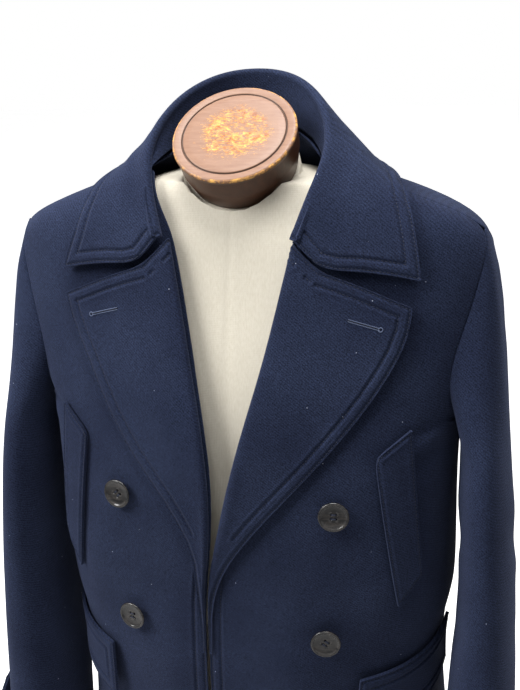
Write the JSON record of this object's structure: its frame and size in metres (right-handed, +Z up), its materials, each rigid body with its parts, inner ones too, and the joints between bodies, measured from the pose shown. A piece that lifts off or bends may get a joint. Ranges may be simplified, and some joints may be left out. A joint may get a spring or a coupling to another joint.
{
  "type": "double-breasted pea coat on a limbless dress form",
  "caption": "Short double-breasted wool coat with a wide collar and lapels, hanging open on a limbless dress form with a turned neck cap and a round stand.",
  "frame": {"origin": "centre of the stand's flat underside, on the floor", "axes": "+Z up the column to the neck cap, -Y out through the coat's open fronts, +X to the side of the coat's own left sleeve"},
  "size_m": [0.598, 0.34, 1.0782],
  "materials": {
    "melton_wool": "felted navy melton with a short matt nap",
    "horn_button": "dark horn, semi-gloss",
    "linen_cover": "plain natural linen, matt",
    "turned_wood": "turned, stained and varnished, worn at the crown",
    "stand_wood": "dark stained and varnished"
  },
  "bodies": {
    "root": {"back": "melton_wool", "front_left": "melton_wool", "front_right": "melton_wool", "lapel_left": "melton_wool", "lapel_right": "melton_wool", "collar": "melton_wool", "sleeve_left": "melton_wool", "sleeve_right": "melton_wool", "chest_welt_left": "melton_wool", "chest_welt_right": "melton_wool", "hip_flap_left": "melton_wool", "hip_flap_right": "melton_wool", "cuff_strap_left": "melton_wool", "cuff_strap_right": "melton_wool", "button_left_1": "horn_button", "button_left_2": "horn_button", "button_left_3": "horn_button", "button_right_1": "horn_button", "button_right_2": "horn_button", "button_right_3": "horn_button", "cuff_button_left": "horn_button", "cuff_button_right": "horn_button", "form_torso": "linen_cover", "neck_cap": "turned_wood", "column": "stand_wood", "base": "stand_wood"}
  },
  "joints": []
}
